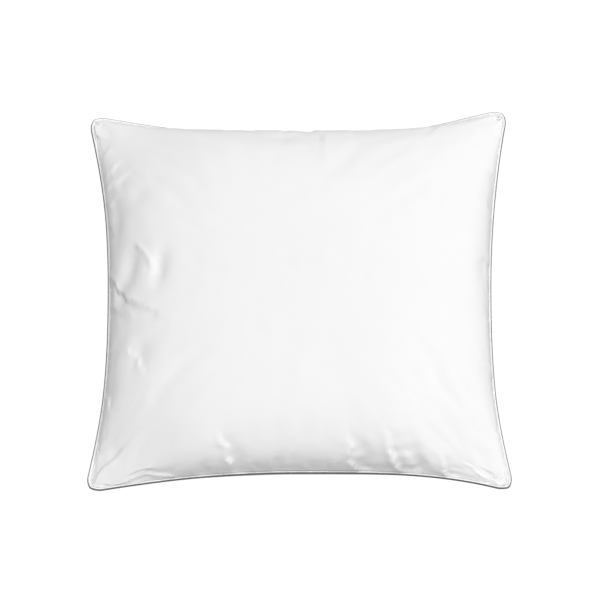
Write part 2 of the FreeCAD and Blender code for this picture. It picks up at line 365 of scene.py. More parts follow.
def makeFilledShape():
    n = casing["cells"]
    deselectAll()
    bpy.ops.mesh.primitive_grid_add(x_subdivisions=n, y_subdivisions=n, size=2)
    upper = addObject("topPanel")
    uv = readPoints(upper)[:, :2]
    uv = uv + np.sin(math.pi * uv) * casing["crowding"] / math.pi
    flat = uv * (casing["cut"] / 2)
    writePattern(upper, uv)
    lower = copyOf(upper, "bottomPanel")
    over = casing["squareness"]
    under = dict.fromkeys(over, casing["underSquareness"])
    layFilled(upper, uv, over, crown * casing["loft"])
    layFilled(lower, uv, under, -seam["level"] * casing["underLoft"])
    editAll(lower, bpy.ops.mesh.flip_normals)
    return upper, lower, flat


# both panels welded at the seam, blown up a little with spare cloth round the edges
def simulateCasing(upper, lower, flat):
    count = len(flat)
    edgeMark = np.abs(seamDepth(flat)) < 1e-6
    joined = copyOf(upper, "casingCloth")
    second = copyOf(lower, "casingClothUnder")
    pick(joined, second)
    bpy.ops.object.join()
    places = readPoints(joined)
    uv = np.concatenate([flat, flat]) / (casing["cut"] / 2)
    fade = smoothStep((1 - np.abs(uv).max(1)) * 4)
    places[:, 2] += rippleField(uv, random.Random(5)) * casing["ripple"] * fade
    writePoints(joined, places)
    mesh = bmesh.new()
    mesh.from_mesh(joined.data)
    mesh.verts.ensure_lookup_table()
    origin = mesh.verts.layers.int.new("origin")
    for number, vertex in enumerate(mesh.verts):
        vertex[origin] = number
    targets = {}
    for number in np.nonzero(edgeMark)[0]:
        targets[mesh.verts[int(number) + count]] = mesh.verts[int(number)]
    bmesh.ops.weld_verts(mesh, targetmap=targets)
    order = np.array([vertex[origin] for vertex in mesh.verts])
    mesh.to_mesh(joined.data)
    mesh.free()
    pins = joined.vertex_groups.new(name="seam")
    pins.add([i for i in range(len(order)) if order[i] < count and edgeMark[order[i]]], 1.0, "REPLACE")
    slack = joined.vertex_groups.new(name="slack")
    edge = np.abs(uv[order]).max(1)
    for number, amount in enumerate(smoothStep((edge - cloth["slackFrom"]) / cloth["slackOver"])):
        slack.add([number], float(amount), "REPLACE")
    modifier = joined.modifiers.new("cloth", "CLOTH")
    settings = modifier.settings
    settings.quality = cloth["quality"]
    settings.mass = cloth["mass"]
    settings.tension_stiffness = cloth["stretch"]
    settings.compression_stiffness = cloth["stretch"]
    settings.shear_stiffness = cloth["shear"]
    settings.bending_stiffness = cloth["bending"]
    settings.tension_damping = cloth["damping"]
    settings.compression_damping = cloth["damping"]
    settings.shear_damping = cloth["damping"]
    settings.use_pressure = True
    settings.uniform_pressure_force = cloth["pressure"]
    settings.vertex_group_mass = "seam"
    settings.pin_stiffness = cloth["pin"]
    settings.vertex_group_shrink = "slack"
    settings.shrink_min = cloth["slackMiddle"]
    settings.shrink_max = cloth["slackEdge"]
    settings.effector_weights.gravity = 0
    modifier.collision_settings.use_collision = False
    modifier.point_cache.frame_start = 1
    modifier.point_cache.frame_end = cloth["frames"]
    scene = bpy.context.scene
    for number in range(1, cloth["frames"] + 1):
        scene.frame_set(number)
    shaped = joined.evaluated_get(bpy.context.evaluated_depsgraph_get())
    points = np.empty(len(order) * 3)
    shaped.data.vertices.foreach_get("co", points)
    bpy.data.objects.remove(joined)
    scene.frame_set(1)
    full = np.empty((2 * count, 3))
    full[order] = points.reshape(-1, 3)
    full[count:][edgeMark] = full[:count][edgeMark]
    return full[:count], full[count:]


# the broad part of a field on the panel's grid, nothing at the seam
def slowPart(field, reach):
    n = casing["cells"] + 1
    grid = field.reshape(n, n, -1)
    width = reach / casing["cut"] * casing["cells"]
    taps = np.arange(-int(width * 3), int(width * 3) + 1)
    weights = np.exp(-0.5 * (taps / width) ** 2)
    weights /= weights.sum()
    for axis in (0, 1):
        lines = np.moveaxis(grid, axis, 0)
        margin = len(taps) // 2
        padded = np.concatenate([-lines[margin:0:-1], lines, -lines[-2:-margin - 2:-1]])
        lines = sum(w * padded[i:i + n] for i, w in enumerate(weights))
        grid = np.moveaxis(lines, 0, axis)
    return grid.reshape(len(field), -1)


# keeps the filled shape and takes the wrinkles from the simulated cloth
def takeWrinkles(panel, simulated):
    start = readPoints(panel)
    move = simulated - start
    slow = slowPart(move, casing["fineLength"])
    move = slow * casing["keepSlow"] + (move - slow) * casing["keepFine"]
    length = np.linalg.norm(move, axis=1, keepdims=True)
    move *= casing["mostMove"] / np.maximum(length, casing["mostMove"])
    points = start + move
    soft = casing["restSoftness"]
    points[:, 2] = (points[:, 2] + np.sqrt(points[:, 2] ** 2 + 4 * soft ** 2)) / 2
    writePoints(panel, points)


# creases over the top panel, in its own flat millimetres: start, end, half width, height,
# side of the hollow beside the ridge (1 left, -1 right, 0 none) and bow
creases = {
    "near": [
        (-97, -327, -122, -244, 5, 7.6, -1, -5), (-66, -327, -74, -296, 3.5, 2.6, -1, 0),
        (-40, -327, -33, -280, 4, 3.5, -1, 2), (-22, -327, -14, -274, 4, 3.2, -1, -2),
        (10, -327, 4, -296, 4, 2.3, -1, 0), (40, -327, 46, -290, 4, 2.6, 1, 0),
        (86, -327, 66, -254, 6.5, 8.0, -1, 5), (110, -327, 104, -296, 4, 2.0, -1, 0),
        (148, -327, 120, -240, 7, 10.0, -1, 7), (172, -327, 178, -286, 4, 2.4, 1, 0),
        (208, -327, 196, -268, 6, 6.8, -1, 3), (-150, -327, -138, -286, 5, 3.8, -1, 2),
        (-182, -327, -176, -300, 4, 2.9, 1, 0), (-122, -327, -128, -300, 4, 2.3, 1, 0),
    ],
    "ears": [
        (-258, -316, -196, -308, 5, 5.3, -1, 3), (-214, -302, -168, -322, 4.5, 4.8, 1, 0),
        (-238, -296, -196, -296, 4, 3.0, -1, 3), (-304, -302, -226, -222, 10, 4.6, 1, 6),
        (-316, -320, -268, -324, 4, 2.3, 0, 0), (-276, -306, -262, -322, 4, 2.3, -1, 0),
        (248, -294, 300, -320, 4, 3.7, 1, 2), (234, -280, 272, -312, 4.5, 4.1, 1, -2),
        (256, -278, 290, -300, 4, 3.0, -1, 2), (302, -272, 318, -308, 4, 2.8, -1, 0),
        (284, -318, 322, -298, 4, 2.8, 0, 3), (262, -324, 284, -308, 3.5, 2.5, 1, 0),
        (308, 322, 278, 298, 4, 3.0, 1, 0), (322, 300, 290, 286, 4, 2.5, -1, 0),
        (-316, 318, -284, 284, 5, 3.7, 1, 3), (-322, 288, -286, 258, 5, 3.2, -1, -3),
        (-300, 300, -262, 292, 4.5, 2.8, -1, 2),
    ],
    "left": [
        (-306, 232, -268, 246, 5, 2.4, 1, 1), (-308, 196, -250, 226, 5, 3.4, -1, 1),
        (-312, 172, -244, 206, 6, 3.8, -1, -2), (-316, 146, -262, 164, 5, 2.6, -1, 1),
        (-256, 70, -228, 12, 4.5, 4.6, 0, 10), (-242, 16, -212, 4, 4, 2.6, 1, 0),
        (-320, 44, -192, -66, 8, 6.0, -1, -9), (-320, -16, -250, -58, 6, 3.4, -1, 4),
        (-268, -100, -240, -150, 5, 4.0, 1, 4), (-322, -146, -284, -198, 6, 2.8, 1, 2),
        (-327, 96, -280, 86, 5, 2.4, 1, 0), (-327, -92, -286, -84, 5, 2.2, -1, 0),
        (-327, 122, -292, 116, 4, 1.8, -1, 0), (-327, -226, -292, -246, 5, 2.2, 1, 0),
    ],
    "far": [
        (-36, 327, -28, 254, 6, 2.1, 1, 3), (16, 327, 34, 180, 9, 2.4, -1, 12),
        (-62, 327, -54, 276, 5, 1.3, -1, 0), (62, 327, 72, 236, 7, 1.5, 1, 4),
        (206, 327, 182, 248, 5, 2.0, -1, 3), (-170, 327, -178, 280, 5, 1.1, 1, 0),
        (118, 327, 112, 284, 5, 1.0, -1, 0), (-118, 327, -110, 288, 5, 0.9, 1, 0),
    ],
    "right": [
        (327, 132, 270, 142, 7, 2.8, -1, 0), (327, 66, 262, 58, 8, 3.0, 1, 3),
        (327, -34, 280, -40, 6, 2.0, -1, 0), (327, -120, 268, -110, 7, 2.4, 1, 0),
        (327, 196, 284, 204, 6, 2.0, 1, 0), (327, -206, 284, -214, 6, 2.0, -1, 0),
    ],
}
pockets = [   # soft hollows: middle, half sizes along and across, turn in degrees, depth
    (-268, 34, 26, 13, 72, 8.5), (-218, 26, 26, 10, 82, 7.5), (-250, -110, 26, 13, 60, 3.2),
    (-292, 118, 40, 14, 80, 4.0), (98, -304, 22, 9, 95, 3.0), (166, -300, 30, 10, 96, 4.2),
    (-20, 270, 36, 14, 0, 2.6), (62, 214, 40, 15, 60, 2.2), (296, 40, 40, 14, 90, 2.4),
    (277, -288, 8, 5, 0, 2.6), (-290, -8, 24, 12, 80, 6.5), (-216, -306, 18, 7, 10, 2.4),
    (222, -300, 22, 9, 70, 2.4), (-88, -296, 20, 8, 80, 2.2), (-250, 150, 34, 14, 40, 2.2),
]
creaseForm = {   # in half widths of the crease, or in parts of its length
    "ridge": 0.4,          # height of the ridge that has a hollow beside it
    "drop": 0.7,           # from the ridge down into the hollow
    "rise": 3,             # and slowly out of it
    "taper": (0.75, 0.6),  # width at the start, and what it gains by the end
    "startFade": 0.22,
    "endFade": 0.65,
    "overrun": 1.05,
}
unrest = {   # length of the waves and how far they go
    "long": (0.045, 0.0035),
    "short": (0.014, 0.0006),
    "strength": (0.030, 0.3),
}
puckers = {
    "ends": 0.02,          # none this close to a corner
    "start": 0.003,
    "lean": 0.5,
    "spacing": (0.009, 0.022),
    "reach": (0.009, 0.026),
    "halfWidth": (0.0022, 0.0042),
    "height": (0.0006, 0.0018),
}


# each point's place on the flat panel, as it was cut
def flatPlaces(panel):
    owner = loopOwners(panel)
    uv = np.empty(len(owner) * 2)
    panel.data.uv_layers.active.data.foreach_get("uv", uv)
    places = np.empty((len(panel.data.vertices), 2))
    places[owner] = (uv.reshape(-1, 2) - 0.5) * casing["cut"]
    return places


# how far each of those places is from the seam
def seamDepth(places):
    return casing["cut"] / 2 - np.abs(places).max(1)


# bends the creases' lines a little, so that none runs quite true
def wander(places, dice, length, amount):
    total = np.zeros_like(places)
    for _ in range(14):
        angle = dice.uniform(0, 2 * math.pi)
        waves = 2 * math.pi / (length * dice.uniform(0.6, 1.7))
        phase = dice.uniform(0, 2 * math.pi)
        swing = np.sin((places @ (math.cos(angle), math.sin(angle))) * waves + phase)
        total += np.outer(swing, (math.cos(angle + phase), math.sin(angle + phase)))
    return total * amount / 2.6


# a ridge with sloping ends, and a steep-sided hollow along one side of it
def creaseHeight(places, crease):
    startX, startY, endX, endY, halfWidth, height, hollow, bow = (part / 1000 for part in crease)
    hollow *= 1000
    start, end = np.array([startX, startY]), np.array([endX, endY])
    length = np.linalg.norm(end - start)
    along = (end - start) / length
    offset = places - start
    t = offset @ along / length
    across = (along[0] * offset[:, 1] - along[1] * offset[:, 0] - bow * 4 * t * (1 - t))
    narrow, gain = creaseForm["taper"]
    q = across / (halfWidth * (narrow + gain * np.clip(t, 0, 1)))
    fade = smoothStep(t / creaseForm["startFade"] + 0.5)
    fade = fade * smoothStep((creaseForm["overrun"] - t) / creaseForm["endFade"])
    ridge = np.exp(-np.abs(q) ** 1.4)
    if hollow:
        aside = np.maximum(q * hollow, 0)
        hollowPart = smoothStep(aside / creaseForm["drop"]) * np.exp(-aside / creaseForm["rise"])
        ridge = creaseForm["ridge"] * ridge - hollowPart
    return height * fade * ridge


def pocketDepth(places, pocket):
    middleX, middleY, long, short, turn, depth = pocket
    turn = math.radians(turn)
    offset = places * 1000 - (middleX, middleY)
    along = offset[:, 0] * math.cos(turn) + offset[:, 1] * math.sin(turn)
    across = offset[:, 1] * math.cos(turn) - offset[:, 0] * math.sin(turn)
    return -depth / 1000 * np.exp(-(along / long) ** 2 - (across / short) ** 2)


# the small gathers that stitching leaves beside a seam
def puckerHeight(places, dice):
    total = np.zeros(len(places))
    half = casing["cut"] / 2
    for along, across in ((0, 1), (1, 0)):
        for side in (-1, 1):
            depth = half - places[:, across] * side
            near = depth < puckers["reach"][1]
            place = -half + puckers["ends"]
            while place < half - puckers["ends"]:
                reach = dice.uniform(*puckers["reach"])
                width = dice.uniform(*puckers["halfWidth"])
                height = dice.uniform(*puckers["height"])
                lean = dice.uniform(-puckers["lean"], puckers["lean"])
                q = (places[near, along] - place - lean * depth[near]) / width
                fade = smoothStep(depth[near] / puckers["start"]) * smoothStep(1 - depth[near] / reach)
                total[near] += height * np.exp(-q ** 2) * fade
                place += dice.uniform(*puckers["spacing"])
    return total


# the pockets go in before the filling is made, so that it follows them
def pressPockets(panel):
    places = flatPlaces(panel)
    depth = sum(pocketDepth(places, pocket) for pocket in pockets)
    depth *= smoothStep(seamDepth(places) / casing["pocketFade"])
    writePoints(panel, readPoints(panel) + readPoints(panel, "normal") * depth[:, None])


def shapeByHand(panel, seed, withCreases):
    places = flatPlaces(panel)
    height = puckerHeight(places, random.Random(seed))
    if withCreases:
        dice = random.Random(seed)
        bent = places + wander(places, dice, *unrest["long"]) + wander(places, dice, *unrest["short"])
        uneven = 1 + wander(places, dice, *unrest["strength"])[:, 0]
        for group in creases.values():
            for crease in group:
                height += creaseHeight(bent, crease) * uneven
    height *= smoothStep(seamDepth(places) / casing["creaseFade"])
    normals = readPoints(panel, "normal")
    writePoints(panel, readPoints(panel) + normals * height[:, None])


# the panel's edge turns in between the layers, and the cloth gets its thickness
def turnInEdge(panel, side):
    points = readPoints(panel)
    depth = seamDepth(flatPlaces(panel))
    points[:, 2] += side * seam["gap"] * smoothStep(1 - depth / seam["gapReach"])
    writePoints(panel, points)
    pick(panel)
    bpy.ops.object.mode_set(mode="EDIT")
    bpy.ops.mesh.select_mode(type="EDGE")
    bpy.ops.mesh.select_all(action="DESELECT")
    bpy.ops.mesh.select_non_manifold()
    bpy.ops.mesh.extrude_region_move()
    bpy.ops.object.mode_set(mode="OBJECT")
    chosen = np.empty(len(panel.data.vertices), dtype=bool)
    panel.data.vertices.foreach_get("select", chosen)
    points = readPoints(panel)
    inward = ringNormals(points[chosen][:, :2])
    points[chosen, :2] -= inward * seam["allowance"]
    points[chosen, 2] += side * seam["tuckRise"]
    writePoints(panel, points)
    applyModifier(panel, "SOLIDIFY", thickness=casing["thickness"], offset=-1, use_quality_normals=True)


# directions in plan away from a ring's inside, at each of its points
def outwardFrom(ring):
    step = np.roll(ring, -1, 0) - np.roll(ring, 1, 0)
    outward = np.stack([step[:, 1], -step[:, 0]], 1)
    return outward / np.linalg.norm(outward, axis=1, keepdims=True)


# the same for points lying on the seam line
def ringNormals(places):
    ring = seamRing(1200, 0)[:, :2]
    outward = outwardFrom(ring)
    nearest = [int(np.argmin(((ring - place) ** 2).sum(1))) for place in places]
    return outward[nearest]


# evenly spaced points round the seam, seen from above anticlockwise, moved out in plan
def seamRing(count, outward):
    side = np.linspace(-1, 1, 1500, endpoint=False)
    one = np.ones_like(side)
    u = np.concatenate([side, one, -side, -one])
    v = np.concatenate([-one, side, one, -side])
    ring = planPlace(u, v)
    ring[:, :2] += outwardFrom(ring) * outward
    closed = np.concatenate([ring, ring[:1]])
    along = np.concatenate([[0], np.cumsum(np.linalg.norm(np.diff(closed, axis=0), axis=1))])
    wanted = np.linspace(0, along[-1], count, endpoint=False)
    return np.stack([np.interp(wanted, along, closed[:, axis]) for axis in (0, 1, 2)], 1)


upper, lower, flat = makeFilledShape()
above, below = simulateCasing(upper, lower, flat)
takeWrinkles(upper, above)
takeWrinkles(lower, below)
pressPockets(upper)
print("stage: casing filled")


# the filling follows the casing from inside, clear of the turned-in edges
fill = {
    "inset": 0.0075,
    "openEdge": 0.018,    # left free beside the seam
    "share": 0.36,        # of the gap between the panels, where that is thin
}


def makeFill(upper, lower):
    halves = []
    gap = np.linalg.norm(readPoints(upper) - readPoints(lower), axis=1)
    inset = np.minimum(fill["inset"], fill["share"] * gap)[:, None]
    for panel in (upper, lower):
        half = copyOf(panel, "fillHalf")
        bpy.ops.object.shade_smooth()
        points = readPoints(half)
        points -= readPoints(half, "normal") * inset
        writePoints(half, points)
        outer = seamDepth(flatPlaces(half)) < fill["openEdge"]
        bpy.ops.object.mode_set(mode="EDIT")
        bpy.ops.mesh.select_mode(type="VERT")
        bpy.ops.mesh.select_all(action="DESELECT")
        bpy.ops.object.mode_set(mode="OBJECT")
        half.data.vertices.foreach_set("select", outer)
        bpy.ops.object.mode_set(mode="EDIT")
        bpy.ops.mesh.delete(type="VERT")
        bpy.ops.object.mode_set(mode="OBJECT")
        halves.append(half)
    pick(*halves)
    bpy.ops.object.join()
    body = addObject("innerFilling")
    bpy.ops.object.mode_set(mode="EDIT")
    bpy.ops.mesh.select_mode(type="EDGE")
    bpy.ops.mesh.select_all(action="DESELECT")
    bpy.ops.mesh.select_non_manifold()
    bpy.ops.mesh.bridge_edge_loops(number_cuts=3, smoothness=1.0, interpolation="SURFACE")
    bpy.ops.mesh.select_all(action="SELECT")
    bpy.ops.mesh.normals_make_consistent(inside=False)
    bpy.ops.object.mode_set(mode="OBJECT")
    bpy.ops.object.shade_smooth()
    return body


filling = makeFill(upper, lower)
for panel in (upper, lower):
    pick(panel)
    bpy.ops.object.shade_smooth()
    applyModifier(panel, "SUBSURF", levels=1, render_levels=1, boundary_smooth="PRESERVE_CORNERS")
shapeByHand(upper, 3, True)
shapeByHand(lower, 7, False)
lowerCloth = flatPlaces(lower), readPoints(lower), readPoints(lower, "normal")
turnInEdge(upper, 1)
turnInEdge(lower, -1)
print("stage: casing and filling made")

piping = {
    "beadOut": 0.0026,     # seam line to the middle of the bead
    "bead": 0.0025,        # outer radius
    "wall": 0.0003,
    "flange": 0.0105,
    "flangeHalf": 0.0002,
    # the next two place the painted shade on the bead's outer side: how far round it reaches, and how
    # soft its edge is
    "paintedShadeAngle": 70,     # degrees to each side of straight out
    "paintedShadeSoft": 8,
    "rounding": 22,        # corners of the outline round the bead
    "points": 900,
    "cordRadius": 0.0018,
    "cordPitch": 0.014,
    "cordStrands": 3,
    "strandDepth": 0.35,   # how deep the grooves between the strands are
    "cordPoints": 2400,
}


# a closed outline swept along a path; outline points are (inward, up) in metres
def sweep(name, path, outline, closed=True, turn=0.0):
    deselectAll()
    bpy.ops.curve.primitive_nurbs_circle_add(radius=1)
    shape = bpy.context.active_object
    fillSpline(shape, [(-a, b, 0) for a, b in outline], True)
    shape.data.dimensions = "2D"
    shape.data.fill_mode = "NONE"
    deselectAll()
    bpy.ops.curve.primitive_nurbs_circle_add(radius=1)
    thing = addObject(name)
    fillSpline(thing, path, closed)
    thing.data.dimensions = "3D"
    thing.data.twist_mode = "Z_UP"
    if turn:
        points = thing.data.splines[0].points
        points.foreach_set("tilt", turn * np.arange(len(points)))
    thing.data.bevel_mode = "OBJECT"
    thing.data.bevel_object = shape
    thing.data.use_fill_caps = not closed
    bpy.ops.object.convert(target="MESH")
    bpy.data.objects.remove(shape)
    editAll(thing, lambda: bpy.ops.mesh.remove_doubles(threshold=1e-6),
            lambda: bpy.ops.mesh.normals_make_consistent(inside=False))
    bpy.ops.object.shade_smooth()
    return thing


def fillSpline(thing, points, closed):
    curve = thing.data
    curve.splines.clear()
    spline = curve.splines.new("POLY")
    spline.points.add(len(points) - 1)
    spline.points.foreach_set("co", np.hstack([np.array(points), np.ones((len(points), 1))]).ravel())
    spline.use_cyclic_u = closed


def circle(radius, count, lobes=0, depth=0.0):
    turns = np.linspace(0, 2 * math.pi, count, endpoint=False)
    r = radius * (1 - depth / 2 + depth / 2 * np.cos(turns * lobes))
    return [(a, b) for a, b in np.stack([r * np.cos(turns), r * np.sin(turns)], 1)]


# the strip goes round the cord and its two edges lie together between the panels
def makePipingCover():
    path = seamRing(piping["points"], piping["beadOut"])
    half = piping["flangeHalf"]
    r, wall = piping["bead"], piping["wall"]
    mouth = math.asin(half * 1.6 / r)
    turns = np.linspace(mouth, 2 * math.pi - mouth, piping["rounding"])
    outer = [(r * math.cos(t), r * math.sin(t)) for t in turns]
    inner = [((r - wall) * math.cos(t), (r - wall) * math.sin(t)) for t in turns[::-1]]
    end = piping["beadOut"] + piping["flange"]
    outline = [(end, half)] + outer + [(end, -half), (end, -half * 0.2)] + inner + [(end, half * 0.2)]
    strip = sweep("pipingCover", path, outline)
    # marks where painted shade goes on the outer side of the bead
    markPaintedShade(strip, path)
    return strip


# how far each point lies on the outer side of the bead, kept for the material, which paints shade there
def markPaintedShade(strip, path):
    points = readPoints(strip)
    outward = ringNormals(path[:, :2])
    values = np.empty(len(points))
    batch = 4000    # points at a time, to spare memory
    for first in range(0, len(points), batch):
        part = points[first:first + batch]
        nearest = ((part[:, None, :2] - path[None, :, :2]) ** 2).sum(2).argmin(1)
        offset = part - path[nearest]
        out = (offset[:, :2] * outward[nearest]).sum(1)
        values[first:first + batch] = np.degrees(np.arctan2(np.abs(offset[:, 2]), out))
    attribute = strip.data.attributes.new("paintedShade", "FLOAT", "POINT")
    within = (piping["paintedShadeAngle"] - values) / piping["paintedShadeSoft"]
    attribute.data.foreach_set("value", smoothStep(within + 0.5))


# cotton strands laid together
def makePipingCord():
    count = piping["cordPoints"]
    path = seamRing(count, piping["beadOut"])
    length = np.linalg.norm(np.diff(path, axis=0), axis=1).sum()
    twists = round(length / piping["cordPitch"])
    strands = circle(piping["cordRadius"], 12, piping["cordStrands"], piping["strandDepth"])
    return sweep("pipingCord", path, strands, turn=2 * math.pi * twists / count)


cover = makePipingCover()
cord = makePipingCord()
print("stage: piping made")

threads = {
    "radius": 0.00015,
    "inset": 0.0016,        # inside the seam line
    "stitch": 0.003,
    "over": 0.00115,        # needle thread above the seam's middle
    "wave": 0.00025,
    "overlockInset": 0.0108,
    "overlockPitch": 0.005,
    "overlockReach": (0.0026, 0.0016),
    "overlockRadius": 0.00022,
    "earSize": 0.3,         # share of the loops' size that is left in the ears
    "earFrom": 0.03,        # and the distances from the corner between which it grows
    "earOver": 0.05,
}
seamLength = np.linalg.norm(np.diff(seamRing(400, 0), axis=0), axis=1).sum()


def makeSeamThread(name, side):
    stitches = round(seamLength / threads["stitch"])
    path = seamRing(stitches * 3, -threads["inset"])
    beat = np.cos(np.arange(len(path)) * 2 * math.pi / 3)
    path[:, 2] += side * (threads["over"] + threads["wave"] * beat)
    return sweep(name, path, circle(threads["radius"], 5))


# the overlock thread winds round the raw edges of both panels and the strip
def makeOverlock():
    loops = round(seamLength / threads["overlockPitch"])
    count = loops * 8
    middle = seamRing(count, -threads["overlockInset"])
    step = 0.001
    outward = (seamRing(count, step - threads["overlockInset"]) - middle) / step
    turns = np.arange(count) * 2 * math.pi / 8
    reach, height = threads["overlockReach"]
    corner = np.linalg.norm(seam["halfSpan"] - np.abs(middle[:, :2]), axis=1)
    slim = threads["earSize"]
    slim = slim + (1 - slim) * smoothStep((corner - threads["earFrom"]) / threads["earOver"])
    path = middle + outward * (reach * slim * np.cos(turns))[:, None]
    path[:, 2] += height * slim * np.sin(turns)
    return sweep("overlockThread", path, circle(threads["overlockRadius"], 5))


needle = makeSeamThread("seamNeedleThread", 1)
bobbin = makeSeamThread("seamBobbinThread", -1)
overlock = makeOverlock()
print("stage: seam threads made")

closing = {
    "count": 30,
    "pitch": 0.005,
    "length": 0.0032,
    "radius": 0.0002,
    "below": 0.0042,        # under the seam, along the bottom panel
    "lean": 0.35,
    "proud": 0.9,           # in radii, how far a stitch's middle stands off the cloth
    "sink": 1.6,            # and how far its ends go back in
}


# hand stitches that close the filling gap, in a row just under the piping at the back
def makeClosingStitches(places, points, normals):
    parts = []
    row = casing["cut"] / 2 - closing["below"]
    for number in range(closing["count"]):
        x = (number - (closing["count"] - 1) / 2) * closing["pitch"]
        nearest = np.argsort((places[:, 1] - row) ** 2 + (places[:, 0] - x) ** 2)[:3]
        middle = points[nearest].mean(0)
        middle[0] = x
        out = normals[nearest].mean(0)
        deselectAll()
        bpy.ops.mesh.primitive_uv_sphere_add(segments=8, ring_count=6, radius=closing["radius"])
        stitch = addObject("stitch")
        shape = readPoints(stitch)
        shape[:, 0] *= closing["length"] / 2 / closing["radius"]
        bend = (shape[:, 0] / (closing["length"] / 2)) ** 2
        slope = closing["lean"] * (1 if number % 2 else -1)
        down = np.cross(out, (1, 0, 0))
        moved = middle + shape[:, :1] * np.array([1, 0, 0]) + shape[:, 1:2] * down
        moved += shape[:, 2:3] * out + (shape[:, :1] * slope) * down
        moved += out * (closing["radius"] * (closing["proud"] - closing["sink"] * bend))[:, None]
        writePoints(stitch, moved)
        parts.append(stitch)
    pick(*parts)
    bpy.ops.object.join()
    stitches = addObject("closingStitches")
    bpy.ops.object.shade_smooth()
    return stitches


label = {
    "place": -0.130,
    "width": 0.038,
    "length": 0.0525,
    "thickness": 0.0005,
    "out": 0.0022,          # radius of the turn over the piping
    "curl": 0.0028,
    "tuck": 0.004,          # held between the panels
    "over": 0.0014,         # above the CAD label
    "short": 0.002,         # how much less than its length hangs free
    "cupping": 0.0011,
    "twist": 0.0007,
    "drift": 0.0016,        # sideways, at its free end
    "edge": 0.00012,
    "columns": 18,
    "rows": 40,
}


# a folded tape caught in the seam, hanging over the edge of the bottom panel
def makeLabel():
    low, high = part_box("care_label")
    deselectAll()
    bpy.ops.mesh.primitive_grid_add(x_subdivisions=label["columns"], y_subdivisions=label["rows"], size=1)
    tape = addObject("careLabel")
    grid = readPoints(tape)
    down = 0.5 - grid[:, 1]
    top = high.z + label["over"]
    startY = (low.y + high.y) / 2 - label["out"]
    bendLength = label["out"] * math.pi / 2 + label["tuck"]
    s = down * (bendLength + label["length"] - label["short"])
    turned = np.clip((s - label["tuck"]) / label["out"], 0, math.pi / 2)
    y = startY + np.minimum(s, label["tuck"]) - label["tuck"] + label["out"] * np.sin(turned)
    hanging = np.maximum(s - bendLength, 0)
    z = top - label["out"] * (1 - np.cos(turned)) - hanging
    along = hanging / label["length"]
    across = grid[:, 0] * 2
    y += label["curl"] * (along ** 1.6 - 0.35 * np.sin(along * 5)) * 0.6
    y += label["cupping"] * along * across ** 2 - label["twist"] * along * across
    x = label["place"] + grid[:, 0] * label["width"] + label["drift"] * along
    writePoints(tape, np.stack([x, y, z], 1))
    bpy.ops.object.shade_smooth()
    applyModifier(tape, "SOLIDIFY", thickness=label["thickness"], offset=0)
    applyModifier(tape, "BEVEL", width=label["edge"], segments=1, limit_method="ANGLE")
    return tape


tape = makeLabel()
stitches = makeClosingStitches(*lowerCloth)
print("stage: stitches and label made")


def newMaterial(name, color, roughness):
    material = bpy.data.materials.new(name)
    material.use_nodes = True
    shader = material.node_tree.nodes["Principled BSDF"]
    shader.inputs["Base Color"].default_value = (*color, 1)
    shader.inputs["Roughness"].default_value = roughness
    return material, material.node_tree, shader


def mathNode(tree, operation, first, second=None, third=None):
    node = tree.nodes.new("ShaderNodeMath")
    node.operation = operation
    for socket, value in zip(node.inputs, (first, second, third)):
        if value is None:
            continue
        if isinstance(value, (int, float)):
            socket.default_value = value
        else:
            tree.links.new(value, socket)
    return node.outputs[0]


def newGroup(name, inputs, outputs):
    group = bpy.data.node_groups.new(name, "ShaderNodeTree")
    for title, kind, value in inputs:
        socket = group.interface.new_socket(title, in_out="INPUT", socket_type=kind)
        if value is not None:
            socket.default_value = value
    for title, kind in outputs:
        group.interface.new_socket(title, in_out="OUTPUT", socket_type=kind)
    return group, group.nodes.new("NodeGroupInput"), group.nodes.new("NodeGroupOutput")


# plain weave: warp over weft in turn, with threads of uneven thickness
def makeWeaveGroup():
    group, given, out = newGroup("plainWeave", [
        ("Vector", "NodeSocketVector", None),
        ("Threads Across", "NodeSocketFloat", 400.0),
        ("Threads Along", "NodeSocketFloat", 400.0),
        ("Unevenness", "NodeSocketFloat", 0.3),
    ], [("Height", "NodeSocketFloat"), ("Gaps", "NodeSocketFloat")])
    split = group.nodes.new("ShaderNodeSeparateXYZ")
    group.links.new(given.outputs["Vector"], split.inputs[0])
    slub = group.nodes.new("ShaderNodeTexNoise")
    slub.inputs["Scale"].default_value = 90
    group.links.new(given.outputs["Vector"], slub.inputs["Vector"])
    sway = mathNode(group, "MULTIPLY", slub.outputs[0], given.outputs["Unevenness"])
    waves = []
    for axis, title in ((0, "Threads Across"), (1, "Threads Along")):
        turns = mathNode(group, "MULTIPLY", split.outputs[axis], given.outputs[title])
        turns = mathNode(group, "MULTIPLY", mathNode(group, "ADD", turns, sway), math.pi)
        waves.append(mathNode(group, "SINE", turns))
    over = mathNode(group, "GREATER_THAN", mathNode(group, "MULTIPLY", *waves), 0.0)
    rounds = [mathNode(group, "ABSOLUTE", wave) for wave in waves]
    warp = mathNode(group, "MULTIPLY", rounds[0], over)
    weft = mathNode(group, "MULTIPLY", rounds[1], mathNode(group, "SUBTRACT", 1.0, over))
    height = mathNode(group, "ADD", warp, weft)
    gaps = mathNode(group, "SUBTRACT", 1.0, mathNode(group, "MAXIMUM", *rounds))
    group.links.new(height, out.inputs["Height"])
    group.links.new(gaps, out.inputs["Gaps"])
    return group


